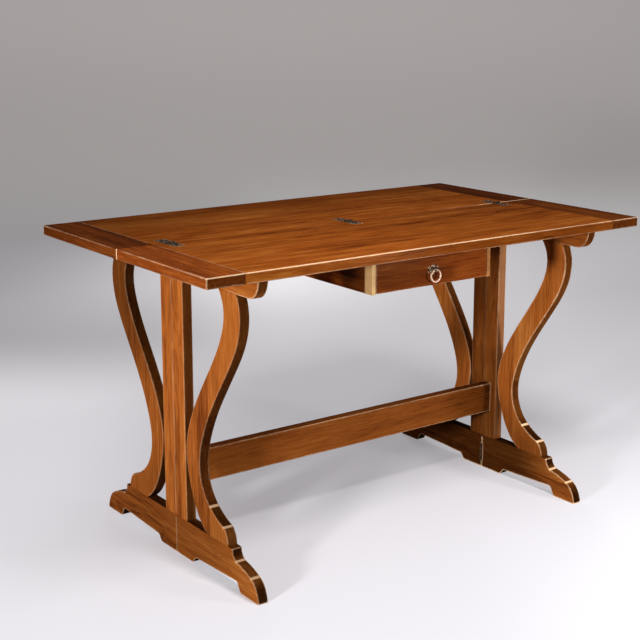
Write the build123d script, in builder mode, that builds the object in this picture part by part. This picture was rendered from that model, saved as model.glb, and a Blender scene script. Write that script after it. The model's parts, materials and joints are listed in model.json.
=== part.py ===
from build123d import *
import os

os.makedirs("parts", exist_ok=True)

# A flip-top console table, shown open as a dining table. Lengths are in millimetres.
# X runs along the table, -Y is the front, Z is up, and the floor is at Z = 0.
# The back leaf turns over onto the front one. Each trestle is split down its middle:
# its front half is fixed, and its back half is a gate that swings in behind the stretcher.

# The whole table
table_length = 1300.0
open_depth = 780.0
table_height = 762.0
top_thickness = 24.0
leaf_gap = 1.0
fold_gap = 1.0

# Leaves: a panel with a cleat across each end, on a stopped tongue
cleat_width = 94.0
cleat_tongue_thickness = 8.0
cleat_tongue_length = 12.0
cleat_tongue_setback = 25.0
leaf_arris = 1.0
joint_play = 0.1

# Trestles
end_overhang = 137.0
member_thickness = 26.0
member_arris = 1.2
half_gap = 1.0
gate_clearance = 0.4

foot_reach = 359.0
foot_height = 95.0
foot_shoulder_reach = 253.0
foot_centre_pad = 76.0
foot_end_pad = 75.0
foot_recess_inner_height = 16.0
foot_recess_outer_height = 24.0
foot_recess_ramp = 13.0
foot_recess_round = 8.0
# Toe outline from the shoulder to the floor, as shares of the toe's length and the foot's height.
# A cove, a long hollow ramp and a rounded nose meet at two ridges.
toe_cove_shares = ((0, 1), (0.032, 0.84), (0.137, 0.73))
toe_ramp_shares = ((0.137, 0.73), (0.41, 0.655), (0.705, 0.535))
toe_nose_shares = ((0.705, 0.535), (0.85, 0.41), (0.955, 0.21), (1, 0))

post_width = 50.0
tenon_thickness = 10.0
tenon_depth = 22.0
post_tenon_width = 30.0
leg_tenon_width = 40.0

bearer_reach = 371.0
bearer_height = 47.0
bearer_nose_length = 37.0

leg_reach = 296.0
# Leg edges from the foot up to the bearer, as shares of the leg's reach and its height.
# The outer edge is a rounded heel, a hollow ramp and the long S, which meet at two ridges.
leg_heel_shares = ((0.790, 0), (0.772, 0.040), (0.730, 0.066))
leg_ramp_shares = ((0.730, 0.066), (0.628, 0.086), (0.530, 0.118))
leg_outer_shares = (
    (0.530, 0.118), (0.445, 0.163), (0.389, 0.237), (0.436, 0.381), (0.615, 0.547),
    (0.838, 0.706), (0.973, 0.831), (1, 0.914), (0.953, 1),
)
leg_inner_shares = (
    (0.480, 0), (0.372, 0.045), (0.280, 0.119), (0.209, 0.220), (0.189, 0.321), (0.236, 0.411),
    (0.372, 0.539), (0.568, 0.681), (0.723, 0.810), (0.774, 0.896), (0.709, 1),
)

# Stretcher between the front posts
stretcher_height = 82.0
stretcher_thickness = 28.0
stretcher_bottom = 173.5
stretcher_setback = 0.5
stretcher_tenon_height = 58.0
stretcher_tenon_thickness = 12.0
stretcher_tenon_depth = 16.0

# Hinges on the top, let in flush, with the barrel standing above the seam
top_hinge_inset = 135.0
top_hinge_width = 28.0
top_plate_reach = 48.0
top_plate_thickness = 2.0
top_plate_corner = 3.0
top_barrel_radius = 3.0
top_pin_radius = 1.2
top_screw_length = 14.0
# Screw places on a plate, as shares of its half width and its reach.
top_screw_shares = ((-0.5, 0.78), (0.5, 0.78), (0, 0.36))

# Hinges of the gates, in the meeting faces of the split feet and posts
gate_hinge_height = 50.0
gate_plate_width = 18.0
gate_plate_thickness = 2.0
gate_barrel_radius = 3.5
gate_pin_radius = 1.5
gate_screw_length = 12.0
lower_hinge_bottom = 20.0
upper_hinge_drop = 16.0
# Screw places on a gate plate, as shares of its width and its height.
gate_screw_shares = ((0.55, 0.2), (0.55, 0.8))

# Common to all hinges
knuckle_gap = 0.2
barrel_clearance = 0.6
notch_clearance = 0.3
pin_play = 0.05
rivet_radius = 2.2
rivet_height = 0.8
plate_play = 0.1

# Countersunk screws, with heads at 90 degrees
screw_radius = 1.5
screw_head_radius = 3.0
screw_point_length = 3.0
countersink_angle = 90
screw_play = 0.1

# Screws up through the front bearers into the front leaf
bearer_screw_length = 34.0
bearer_screw_sink = 28.0
bearer_screw_sink_radius = 4.5
bearer_screw_places = (130.0, 315.0)

# Drawer case under the front leaf
case_width = 365.0
case_height = 84.0
case_depth = 316.0
case_setback = 54.0
case_side_thickness = 11.0
case_back_thickness = 12.0
case_back_inset = 8.0
case_housing_depth = 6.0
case_arris = 1.0
runner_width = 14.0
runner_height = 11.0
runner_setback = 20.0

# Drawer, with lapped dovetails between its front and its sides
drawer_side_play = 1.0
drawer_lift = 0.4
drawer_face_gap = 1.5
drawer_stop_gap = 0.5
drawer_front_thickness = 18.0
drawer_side_thickness = 10.0
drawer_side_height = 58.0
drawer_back_thickness = 10.0
drawer_back_inset = 12.0
drawer_back_drop = 6.0
drawer_bottom_thickness = 5.0
drawer_groove_depth = 4.5
drawer_groove_rise = 6.0
tail_count = 3
tail_length = 12.0
tail_root_width = 8.0
tail_end_width = 12.0
tail_play = 0.05

# Ring pull
pull_rise = 40.0
pull_plate_width = 38.0
pull_plate_height = 30.0
pull_plate_thickness = 1.6
# How far the sides of the lozenge plate are drawn in, as a share of its half sizes.
pull_plate_waist_share = 0.42
pull_collar_radius = 5.0
pull_collar_height = 2.0
pull_neck_radius = 2.6
pull_eye_standoff = 9.5
pull_eye_radius = 5.6
pull_eye_thickness = 5.0
pull_eye_bore_radius = 2.8
pull_eye_round = 1.0
pull_stud_radius = 2.5
pull_nut_width = 9.0
pull_nut_thickness = 4.0
pull_stud_end = 1.5
ring_radius = 14.5
ring_wire_radius = 2.3

# Worked out from the sizes above
hands = {"left": -1, "right": 1}
halves = {"front": -1, "back": 1}
cut_overrun = 1.0

leaf_depth = (open_depth - leaf_gap) / 2
leaf_middle = (open_depth + leaf_gap) / 4
underside = table_height - top_thickness
hinge_line = table_height + fold_gap / 2
panel_length = table_length - 2 * cleat_width
tongue_height = underside + top_thickness / 2

half_face = half_gap / 2
trestle_x = table_length / 2 - end_overhang - member_thickness / 2
inner_face = trestle_x - member_thickness / 2
post_middle = half_face + post_width / 2
leg_foot_middle = leg_reach * (leg_heel_shares[0][0] + leg_inner_shares[0][0]) / 2
leg_top_middle = leg_reach * (leg_outer_shares[-1][0] + leg_inner_shares[-1][0]) / 2
bearer_tops = {-1: underside, 1: underside - gate_clearance}
nose_arc_starts = {-1: 180, 1: 270}

stretcher_middle = half_face + stretcher_setback + stretcher_thickness / 2
stretcher_level = stretcher_bottom + stretcher_height / 2

top_hinge_spread = table_length / 2 - top_hinge_inset
top_hinge_places = (-top_hinge_spread, 0, top_hinge_spread)
top_knuckle = (top_hinge_width - 2 * knuckle_gap) / 3
gate_knuckle = (gate_hinge_height - 2 * knuckle_gap) / 3
gate_axis = inner_face - gate_barrel_radius
hinge_bottoms = {
    "lower": lower_hinge_bottom,
    "upper": bearer_tops[-1] - bearer_height - upper_hinge_drop - gate_hinge_height,
}
screw_head_height = screw_head_radius - screw_radius
screw_hole_radius = screw_radius + screw_play
bearer_screw_head = underside - bearer_height + bearer_screw_sink - screw_head_height
bearer_screw_grip = bearer_screw_head + bearer_screw_length - underside

case_front = -(open_depth / 2 - case_setback)
case_rear = case_front + case_depth
case_bottom = underside - case_height
case_inner = case_width / 2 - case_side_thickness
case_back_front = case_rear - case_back_inset - case_back_thickness
runner_top = case_bottom + runner_height

drawer_half_width = case_inner - drawer_side_play
drawer_front_back = case_front + drawer_front_thickness
drawer_front_height = case_height - 2 * drawer_face_gap
drawer_side_bottom = runner_top + drawer_lift
drawer_side_top = drawer_side_bottom + drawer_side_height
drawer_rear = case_back_front - drawer_stop_gap
drawer_inner = drawer_half_width - drawer_side_thickness
drawer_back_rear = drawer_rear - drawer_back_inset
groove_bottom = drawer_side_bottom + drawer_groove_rise
groove_top = groove_bottom + drawer_bottom_thickness

pull_level = case_bottom + pull_rise
pull_plate_front = case_front - pull_plate_thickness
pull_eye_y = case_front - pull_eye_standoff
pull_nut_front = drawer_front_back + pull_nut_thickness


def save(piece, name):
    """Label a finished piece and write it to its own file."""
    piece.part.label = name
    export_step(piece.part, f"parts/{name}.step")


def top_screw_places(way):
    """X and Y of every screw in the top hinges on one leaf."""
    return [
        (x + across * top_hinge_width / 2, way * reach * top_plate_reach)
        for x in top_hinge_places
        for across, reach in top_screw_shares
    ]


def gate_screw_planes(side, way, bottom):
    """Planes of a gate plate's screws, facing out of the meeting face."""
    return [
        Plane(
            origin=(
                side * (inner_face + across * gate_plate_width),
                way * half_face,
                bottom + up * gate_hinge_height,
            ),
            z_dir=(0, -way, 0),
        )
        for across, up in gate_screw_shares
    ]


def bearer_screw_spots():
    """X and Y of the screws that hold the front leaf down on its bearers."""
    return [(side * trestle_x, -y) for side in hands.values() for y in bearer_screw_places]


def wood_screw(length):
    """A countersunk wood screw with its head at the origin, pointing down."""
    with BuildPart() as screw:
        with BuildSketch(Plane.XZ):
            with BuildLine():
                Polyline(
                    (0, 0),
                    (screw_head_radius, 0),
                    (screw_radius, -screw_head_height),
                    (screw_radius, screw_point_length - length),
                    (0, -length),
                    close=True,
                )
            make_face()
        revolve(axis=Axis.Z)
    return screw.part


# Leaves

def leaf_panel(way):
    """The board of one leaf, with a tongue at each end and the top hinges let in."""
    with BuildPart() as panel:
        with Locations((0, way * leaf_middle, underside)):
            Box(panel_length, leaf_depth, top_thickness, align=(Align.CENTER, Align.CENTER, Align.MIN))
        chamfer(panel.edges().filter_by(Axis.Z, reverse=True), leaf_arris)
        with Locations((0, way * leaf_middle, tongue_height)):
            Box(
                panel_length + 2 * cleat_tongue_length,
                leaf_depth - 2 * cleat_tongue_setback,
                cleat_tongue_thickness,
            )
        with Locations(*[(x, 0, table_height) for x in top_hinge_places]):
            Box(
                top_hinge_width + 2 * plate_play,
                2 * (top_plate_reach + plate_play),
                2 * top_plate_thickness,
                mode=Mode.SUBTRACT,
            )
        with Locations(*[(x, 0, hinge_line) for x in top_hinge_places]):
            Cylinder(
                top_barrel_radius + barrel_clearance,
                top_hinge_width + 2 * (rivet_height + knuckle_gap),
                rotation=(0, 90, 0),
                mode=Mode.SUBTRACT,
            )
        with Locations(*[(x, y, table_height) for x, y in top_screw_places(way)]):
            Cylinder(screw_hole_radius, 2 * top_screw_length, mode=Mode.SUBTRACT)
        if way == halves["front"]:
            with Locations(*[(x, y, underside) for x, y in bearer_screw_spots()]):
                Cylinder(screw_hole_radius, 2 * (bearer_screw_grip + joint_play), mode=Mode.SUBTRACT)
    return panel


def leaf_cleat(side, way):
    """The board across one end of a leaf, grooved for the panel's tongue."""
    with BuildPart() as cleat:
        with Locations((side * (table_length - cleat_width) / 2, way * leaf_middle, tongue_height)):
            Box(cleat_width, leaf_depth, top_thickness)
        chamfer(cleat.edges(), leaf_arris)
        with Locations((side * panel_length / 2, way * leaf_middle, tongue_height)):
            Box(
                2 * (cleat_tongue_length + joint_play),
                leaf_depth - 2 * (cleat_tongue_setback - joint_play),
                cleat_tongue_thickness + 2 * joint_play,
                mode=Mode.SUBTRACT,
            )
    return cleat


# Trestles: every member is cut from the same board thickness, so their faces are flush

def trestle_foot(side, way):
    """Half a foot, with a recess underneath between its two pads and a scrolled toe."""
    toe_length = foot_reach - foot_shoulder_reach
    cove, ramp, nose = [
        [(way * (foot_shoulder_reach + along * toe_length), up * foot_height) for along, up in shares]
        for shares in (toe_cove_shares, toe_ramp_shares, toe_nose_shares)
    ]
    recess_inner = foot_centre_pad
    recess_outer = foot_reach - foot_end_pad
    with BuildPart() as foot:
        with BuildSketch(Plane.YZ.offset(side * trestle_x)):
            with BuildLine():
                Spline(*cove)
                Spline(*ramp)
                Spline(*nose)
                FilletPolyline(
                    (way * foot_reach, 0),
                    (way * recess_outer, 0),
                    (way * (recess_outer - foot_recess_ramp), foot_recess_outer_height),
                    (way * (recess_inner + foot_recess_ramp), foot_recess_inner_height),
                    (way * recess_inner, 0),
                    (way * half_face, 0),
                    radius=foot_recess_round,
                )
                Polyline((way * half_face, 0), (way * half_face, foot_height), cove[0])
            make_face()
        extrude(amount=member_thickness / 2, both=True)
        chamfer(foot.edges().filter_by(GeomType.BSPLINE), member_arris)
        chamfer(foot.edges().filter_by(Axis.Z), member_arris)
        with Locations((side * trestle_x, way * post_middle, foot_height)):
            Box(
                tenon_thickness + 2 * joint_play,
                post_tenon_width + 2 * joint_play,
                2 * (tenon_depth + joint_play),
                mode=Mode.SUBTRACT,
            )
        with Locations((side * trestle_x, way * leg_foot_middle, foot_height)):
            Box(
                tenon_thickness + 2 * joint_play,
                leg_tenon_width + 2 * joint_play,
                2 * (tenon_depth + joint_play),
                mode=Mode.SUBTRACT,
            )
        with Locations((side * (inner_face + gate_plate_width / 2), way * half_face,
                        hinge_bottoms["lower"] + gate_hinge_height / 2)):
            Box(
                gate_plate_width + 2 * plate_play,
                2 * (gate_plate_thickness + plate_play),
                gate_hinge_height + 2 * plate_play,
                mode=Mode.SUBTRACT,
            )
        with Locations(*gate_screw_planes(side, way, hinge_bottoms["lower"])):
            Cylinder(screw_hole_radius, 2 * gate_screw_length, mode=Mode.SUBTRACT)
    return foot


def trestle_post(side, way):
    """Half a post, with a tenon at each end. The front one takes the stretcher."""
    height = bearer_tops[way] - bearer_height - foot_height
    with BuildPart() as post:
        with Locations((side * trestle_x, way * post_middle, foot_height)):
            Box(member_thickness, post_width, height, align=(Align.CENTER, Align.CENTER, Align.MIN))
        chamfer(post.edges().filter_by(Axis.Z), member_arris)
        with Locations((side * trestle_x, way * post_middle, foot_height + height / 2)):
            Box(tenon_thickness, post_tenon_width, height + 2 * tenon_depth)
        with Locations((side * (inner_face + gate_plate_width / 2), way * half_face,
                        hinge_bottoms["upper"] + gate_hinge_height / 2)):
            Box(
                gate_plate_width + 2 * plate_play,
                2 * (gate_plate_thickness + plate_play),
                gate_hinge_height + 2 * plate_play,
                mode=Mode.SUBTRACT,
            )
        with Locations(*gate_screw_planes(side, way, hinge_bottoms["upper"])):
            Cylinder(screw_hole_radius, 2 * gate_screw_length, mode=Mode.SUBTRACT)
        if way == halves["front"]:
            with Locations((side * inner_face, -stretcher_middle, stretcher_level)):
                Box(
                    2 * (stretcher_tenon_depth + joint_play),
                    stretcher_tenon_thickness + 2 * joint_play,
                    stretcher_tenon_height + 2 * joint_play,
                    mode=Mode.SUBTRACT,
                )
    return post


def trestle_leg(side, way):
    """The shaped leg: drawn in beside the post, bellied above and scrolled out at the foot."""
    height = bearer_tops[way] - bearer_height - foot_height
    heel, ramp, outer, inner = [
        [(way * out * leg_reach, foot_height + up * height) for out, up in shares]
        for shares in (leg_heel_shares, leg_ramp_shares, leg_outer_shares, leg_inner_shares)
    ]
    with BuildPart() as leg:
        with BuildSketch(Plane.YZ.offset(side * trestle_x)):
            with BuildLine():
                Spline(*heel)
                Spline(*ramp)
                Spline(*outer)
                Line(outer[-1], inner[-1])
                Spline(*inner)
                Line(inner[0], heel[0])
            make_face()
        extrude(amount=member_thickness / 2, both=True)
        chamfer(leg.edges().filter_by(GeomType.BSPLINE), member_arris)
        with Locations((side * trestle_x, way * leg_foot_middle, foot_height)):
            Box(
                tenon_thickness, leg_tenon_width, tenon_depth,
                align=(Align.CENTER, Align.CENTER, Align.MAX),
            )
        with Locations((side * trestle_x, way * leg_top_middle, foot_height + height)):
            Box(
                tenon_thickness, leg_tenon_width, tenon_depth,
                align=(Align.CENTER, Align.CENTER, Align.MIN),
            )
    return leg


def trestle_bearer(side, way):
    """Half a bearer under a leaf, with a rounded nose. The front one is screwed to its leaf."""
    top = bearer_tops[way]
    bottom = top - bearer_height
    nose = bearer_reach - bearer_nose_length
    with BuildPart() as bearer:
        with BuildSketch(Plane.YZ.offset(side * trestle_x)):
            with BuildLine():
                EllipticalCenterArc(
                    (way * nose, top), bearer_nose_length, bearer_height, nose_arc_starts[way]
                )
                Polyline(
                    (way * bearer_reach, top),
                    (way * half_face, top),
                    (way * half_face, bottom),
                    (way * nose, bottom),
                )
            make_face()
        extrude(amount=member_thickness / 2, both=True)
        chamfer(bearer.edges().filter_by(GeomType.ELLIPSE), member_arris)
        chamfer(bearer.edges().filter_by(Axis.Z), member_arris)
        with Locations((side * trestle_x, way * post_middle, bottom)):
            Box(
                tenon_thickness + 2 * joint_play,
                post_tenon_width + 2 * joint_play,
                2 * (tenon_depth + joint_play),
                mode=Mode.SUBTRACT,
            )
        with Locations((side * trestle_x, way * leg_top_middle, bottom)):
            Box(
                tenon_thickness + 2 * joint_play,
                leg_tenon_width + 2 * joint_play,
                2 * (tenon_depth + joint_play),
                mode=Mode.SUBTRACT,
            )
        if way == halves["front"]:
            with Locations(*[(side * trestle_x, -y, bottom) for y in bearer_screw_places]):
                Cylinder(bearer_screw_sink_radius, 2 * bearer_screw_sink, mode=Mode.SUBTRACT)
                Cylinder(screw_hole_radius, 2 * (bearer_height + cut_overrun), mode=Mode.SUBTRACT)
    return bearer


for half, way in halves.items():
    save(leaf_panel(way), f"{half}_leaf_panel")
    for hand, side in hands.items():
        save(leaf_cleat(side, way), f"{half}_leaf_cleat_{hand}")
        save(trestle_foot(side, way), f"{half}_foot_{hand}")
        save(trestle_post(side, way), f"{half}_post_{hand}")
        save(trestle_leg(side, way), f"{half}_leg_{hand}")
        save(trestle_bearer(side, way), f"{half}_bearer_{hand}")

with BuildPart() as bearer_screws:
    with Locations(*[
        Plane(origin=(x, y, bearer_screw_head), z_dir=(0, 0, -1)) for x, y in bearer_screw_spots()
    ]):
        add(wood_screw(bearer_screw_length))
save(bearer_screws, "bearer_screws")

with BuildPart() as stretcher:
    with Locations((0, -stretcher_middle, stretcher_level)):
        Box(2 * inner_face, stretcher_thickness, stretcher_height)
    chamfer(stretcher.edges().filter_by(Axis.X), member_arris)
    with Locations((0, -stretcher_middle, stretcher_level)):
        Box(
            2 * (inner_face + stretcher_tenon_depth),
            stretcher_tenon_thickness,
            stretcher_tenon_height,
        )
save(stretcher, "stretcher")


# Top hinges

def knuckle_places(hinge_size, knuckle, outer_pair):
    """Where a hinge leaf's own knuckles lie along the barrel, from its middle."""
    end = (hinge_size - knuckle) / 2
    return (-end, end) if outer_pair else (0,)


def top_hinge_leaf(x, way):
    """A plate let into one leaf of the table, with its knuckles over the seam."""
    front = way == halves["front"]
    own = knuckle_places(top_hinge_width, top_knuckle, front)
    other = knuckle_places(top_hinge_width, top_knuckle, not front)
    with BuildPart() as hinge:
        with Locations((x, way * top_plate_reach / 2, table_height - top_plate_thickness / 2)):
            Box(top_hinge_width, top_plate_reach, top_plate_thickness)
        far_corners = hinge.edges().filter_by(Axis.Z).sort_by(Axis.Y, reverse=not front)[:2]
        chamfer(far_corners, top_plate_corner)
        with Locations(*[(x + along, 0, hinge_line) for along in own]):
            Cylinder(top_barrel_radius, top_knuckle, rotation=(0, 90, 0))
        with Locations(*[(x + along, 0, hinge_line) for along in other]):
            Cylinder(
                top_barrel_radius + notch_clearance,
                top_knuckle + 2 * knuckle_gap,
                rotation=(0, 90, 0),
                mode=Mode.SUBTRACT,
            )
        with Locations((x, 0, hinge_line)):
            Cylinder(
                top_pin_radius + pin_play,
                top_hinge_width + cut_overrun,
                rotation=(0, 90, 0),
                mode=Mode.SUBTRACT,
            )
        with Locations(*[
            (x + across * top_hinge_width / 2, way * reach * top_plate_reach, table_height)
            for across, reach in top_screw_shares
        ]):
            CounterSinkHole(
                screw_hole_radius,
                screw_head_radius + screw_play,
                depth=top_plate_thickness,
                counter_sink_angle=countersink_angle,
            )
    return hinge


for place, x in zip(("left", "middle", "right"), top_hinge_places):
    for half, way in halves.items():
        save(top_hinge_leaf(x, way), f"top_hinge_{half}_leaf_{place}")

for half, way in halves.items():
    with BuildPart() as top_screws:
        with Locations(*[(x, y, table_height) for x, y in top_screw_places(way)]):
            add(wood_screw(top_screw_length))
    save(top_screws, f"top_hinge_screws_{half}")

with BuildPart() as top_pins:
    with Locations(*[(x, 0, hinge_line) for x in top_hinge_places]):
        Cylinder(top_pin_radius, top_hinge_width, rotation=(0, 90, 0))
    with Locations(*[
        (x + end * (top_hinge_width + rivet_height) / 2, 0, hinge_line)
        for x in top_hinge_places
        for end in hands.values()
    ]):
        Cylinder(rivet_radius, rivet_height, rotation=(0, 90, 0))
save(top_pins, "top_hinge_pins")


# Gate hinges

def gate_hinge_leaf(side, way, bottom):
    """A butt hinge's plate in one meeting face, with its knuckles on the inner side."""
    front = way == halves["front"]
    middle = bottom + gate_hinge_height / 2
    own = knuckle_places(gate_hinge_height, gate_knuckle, front)
    other = knuckle_places(gate_hinge_height, gate_knuckle, not front)
    plate_middle = (gate_axis + inner_face + gate_plate_width) / 2
    with BuildPart() as hinge:
        with Locations((side * plate_middle, way * (half_face + gate_plate_thickness / 2), middle)):
            Box(inner_face + gate_plate_width - gate_axis, gate_plate_thickness, gate_hinge_height)
        with Locations(*[(side * gate_axis, 0, middle + up) for up in own]):
            Cylinder(gate_barrel_radius, gate_knuckle)
        with Locations(*[(side * gate_axis, 0, middle + up) for up in other]):
            Cylinder(
                gate_barrel_radius + notch_clearance,
                gate_knuckle + 2 * knuckle_gap,
                mode=Mode.SUBTRACT,
            )
        with Locations((side * gate_axis, 0, middle)):
            Cylinder(gate_pin_radius + pin_play, gate_hinge_height + cut_overrun, mode=Mode.SUBTRACT)
        with Locations(*gate_screw_planes(side, way, bottom)):
            CounterSinkHole(
                screw_hole_radius,
                screw_head_radius + screw_play,
                depth=gate_plate_thickness,
                counter_sink_angle=countersink_angle,
            )
    return hinge


for hand, side in hands.items():
    for level, bottom in hinge_bottoms.items():
        save(gate_hinge_leaf(side, halves["front"], bottom), f"gate_hinge_fixed_leaf_{hand}_{level}")
        save(gate_hinge_leaf(side, halves["back"], bottom), f"gate_hinge_moving_leaf_{hand}_{level}")

    with BuildPart() as gate_pins:
        with Locations(*[
            (side * gate_axis, 0, bottom + gate_hinge_height / 2) for bottom in hinge_bottoms.values()
        ]):
            Cylinder(gate_pin_radius, gate_hinge_height)
        with Locations(*[
            (side * gate_axis, 0, bottom + gate_hinge_height / 2
             + end * (gate_hinge_height + rivet_height) / 2)
            for bottom in hinge_bottoms.values()
            for end in hands.values()
        ]):
            Cylinder(rivet_radius, rivet_height)
    save(gate_pins, f"gate_hinge_pins_{hand}")

    with BuildPart() as gate_screws:
        for bottom in hinge_bottoms.values():
            with Locations(*gate_screw_planes(side, halves["back"], bottom)):
                add(wood_screw(gate_screw_length))
    save(gate_screws, f"gate_hinge_screws_moving_{hand}")

with BuildPart() as fixed_screws:
    for side in hands.values():
        for bottom in hinge_bottoms.values():
            with Locations(*gate_screw_planes(side, halves["front"], bottom)):
                add(wood_screw(gate_screw_length))
save(fixed_screws, "gate_hinge_screws_fixed")


# Drawer case: two sides hung from the front leaf, a back between them and a runner along each

for hand, side in hands.items():
    with BuildPart() as case_side:
        with Locations((side * (case_inner + case_side_thickness / 2), (case_front + case_rear) / 2,
                        case_bottom)):
            Box(
                case_side_thickness, case_depth, case_height,
                align=(Align.CENTER, Align.CENTER, Align.MIN),
            )
        front_end = case_side.edges().group_by(Axis.Y)[0].filter_by(Axis.Z)
        lower_edges = case_side.edges().group_by(Axis.Z)[0]
        chamfer(front_end + lower_edges, case_arris)
        with Locations((side * case_inner, case_back_front + case_back_thickness / 2,
                        (case_bottom + underside) / 2)):
            Box(
                2 * (case_housing_depth + joint_play),
                case_back_thickness + 2 * joint_play,
                case_height + cut_overrun,
                mode=Mode.SUBTRACT,
            )
    save(case_side, f"case_side_{hand}")

    with BuildPart() as runner:
        with Locations((side * case_inner, case_front + runner_setback, case_bottom)):
            Box(
                runner_width,
                case_back_front - case_front - runner_setback,
                runner_height,
                align=(Align.MAX if side > 0 else Align.MIN, Align.MIN, Align.MIN),
            )
        chamfer(runner.edges().filter_by(Axis.Y), case_arris)
    save(runner, f"drawer_runner_{hand}")

with BuildPart() as case_back:
    with Locations((0, case_back_front, case_bottom)):
        Box(
            2 * (case_inner + case_housing_depth),
            case_back_thickness,
            case_height,
            align=(Align.CENTER, Align.MIN, Align.MIN),
        )
save(case_back, "case_back")


# Drawer

def tail_outlines(play):
    """Corners of the dovetails seen from the end of the drawer front, in Y and Z."""
    pitch = drawer_side_height / tail_count
    outlines = []
    for index in range(tail_count):
        level = drawer_side_bottom + (index + 0.5) * pitch
        root = tail_root_width / 2 + play
        end = tail_end_width / 2 + play
        tip = drawer_front_back - tail_length - play
        outlines.append([
            (drawer_front_back, level - root),
            (tip, level - end),
            (tip, level + end),
            (drawer_front_back, level + root),
        ])
    return outlines


with BuildPart() as drawer_front:
    with Locations((0, case_front, case_bottom + drawer_face_gap)):
        Box(
            2 * drawer_half_width,
            drawer_front_thickness,
            drawer_front_height,
            align=(Align.CENTER, Align.MIN, Align.MIN),
        )
    chamfer(drawer_front.faces().sort_by(Axis.Y)[0].edges(), case_arris)
    for side in hands.values():
        with BuildSketch(Plane.YZ.offset(side * (drawer_half_width - drawer_side_thickness / 2))):
            for outline in tail_outlines(tail_play):
                with BuildLine():
                    Polyline(*outline, close=True)
                make_face()
        extrude(amount=drawer_side_thickness / 2 + cut_overrun, both=True, mode=Mode.SUBTRACT)
    with Locations((0, drawer_front_back, (groove_bottom + groove_top) / 2)):
        Box(
            2 * (drawer_inner + drawer_groove_depth),
            2 * drawer_groove_depth,
            drawer_bottom_thickness + 2 * joint_play,
            mode=Mode.SUBTRACT,
        )
    with Locations(Plane(origin=(0, drawer_front_back, pull_level), z_dir=(0, 1, 0))):
        Hole(pull_stud_radius + screw_play, depth=drawer_front_thickness)
save(drawer_front, "drawer_front")

for hand, side in hands.items():
    with BuildPart() as drawer_side:
        with BuildSketch(Plane.YZ.offset(side * (drawer_half_width - drawer_side_thickness / 2))):
            with BuildLine():
                Polyline(
                    (drawer_front_back, drawer_side_bottom),
                    (drawer_rear, drawer_side_bottom),
                    (drawer_rear, drawer_side_top),
                    (drawer_front_back, drawer_side_top),
                    close=True,
                )
            make_face()
            for outline in tail_outlines(0):
                with BuildLine():
                    Polyline(*outline, close=True)
                make_face()
        extrude(amount=drawer_side_thickness / 2, both=True)
        with Locations((side * drawer_inner, drawer_front_back - drawer_groove_depth,
                        (groove_bottom + groove_top) / 2)):
            Box(
                2 * (drawer_groove_depth + joint_play),
                drawer_rear - drawer_front_back + drawer_groove_depth + cut_overrun,
                drawer_bottom_thickness + 2 * joint_play,
                align=(Align.CENTER, Align.MIN, Align.CENTER),
                mode=Mode.SUBTRACT,
            )
        with Locations((side * drawer_inner, drawer_back_rear - drawer_back_thickness / 2, groove_top)):
            Box(
                2 * (drawer_groove_depth + joint_play),
                drawer_back_thickness + 2 * joint_play,
                drawer_side_height,
                align=(Align.CENTER, Align.CENTER, Align.MIN),
                mode=Mode.SUBTRACT,
            )
    save(drawer_side, f"drawer_side_{hand}")

with BuildPart() as drawer_back:
    with Locations((0, drawer_back_rear, groove_top + joint_play)):
        Box(
            2 * (drawer_inner + drawer_groove_depth),
            drawer_back_thickness,
            drawer_side_top - drawer_back_drop - groove_top - joint_play,
            align=(Align.CENTER, Align.MAX, Align.MIN),
        )
save(drawer_back, "drawer_back")

with BuildPart() as drawer_bottom:
    with Locations((0, drawer_front_back - drawer_groove_depth + joint_play,
                    (groove_bottom + groove_top) / 2)):
        Box(
            2 * (drawer_inner + drawer_groove_depth - joint_play),
            drawer_back_rear - drawer_front_back + drawer_groove_depth,
            drawer_bottom_thickness,
            align=(Align.CENTER, Align.MIN, Align.CENTER),
        )
save(drawer_bottom, "drawer_bottom")


# Ring pull: a lozenge plate, an eye on a stud through the drawer front, a nut and the ring

pull_front = Plane(origin=(0, case_front, pull_level), x_dir=(1, 0, 0), z_dir=(0, -1, 0))

with BuildPart() as pull_plate:
    with BuildSketch(pull_front):
        with BuildLine():
            for across in hands.values():
                for up in hands.values():
                    ThreePointArc(
                        (across * pull_plate_width / 2, 0),
                        (
                            across * pull_plate_waist_share * pull_plate_width / 2,
                            up * pull_plate_waist_share * pull_plate_height / 2,
                        ),
                        (0, up * pull_plate_height / 2),
                    )
        make_face()
    extrude(amount=pull_plate_thickness)
    chamfer(pull_plate.faces().sort_by(Axis.Y)[0].edges(), pull_plate_thickness / 3)
    with Locations(pull_front):
        Hole(pull_stud_radius + screw_play)
save(pull_plate, "pull_plate")

with BuildPart() as pull_eye:
    with Locations((0, pull_eye_y, pull_level)):
        Cylinder(pull_eye_radius, pull_eye_thickness, rotation=(0, 90, 0))
    fillet(pull_eye.edges().filter_by(GeomType.CIRCLE), pull_eye_round)
    with BuildSketch(Plane(origin=(0, pull_plate_front, pull_level), z_dir=(0, -1, 0))):
        Circle(pull_collar_radius)
    extrude(amount=pull_collar_height)
    with BuildSketch(Plane(origin=(0, pull_nut_front + pull_stud_end, pull_level), z_dir=(0, -1, 0))):
        Circle(pull_stud_radius)
    extrude(amount=pull_nut_front + pull_stud_end - pull_plate_front + pull_collar_height / 2)
    with BuildSketch(Plane(origin=(0, pull_plate_front, pull_level), z_dir=(0, -1, 0))):
        Circle(pull_neck_radius)
    extrude(amount=pull_plate_front - pull_eye_y)
    with Locations((0, pull_eye_y, pull_level)):
        Cylinder(
            pull_eye_bore_radius,
            pull_eye_thickness + cut_overrun,
            rotation=(0, 90, 0),
            mode=Mode.SUBTRACT,
        )
save(pull_eye, "pull_eye")

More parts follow.
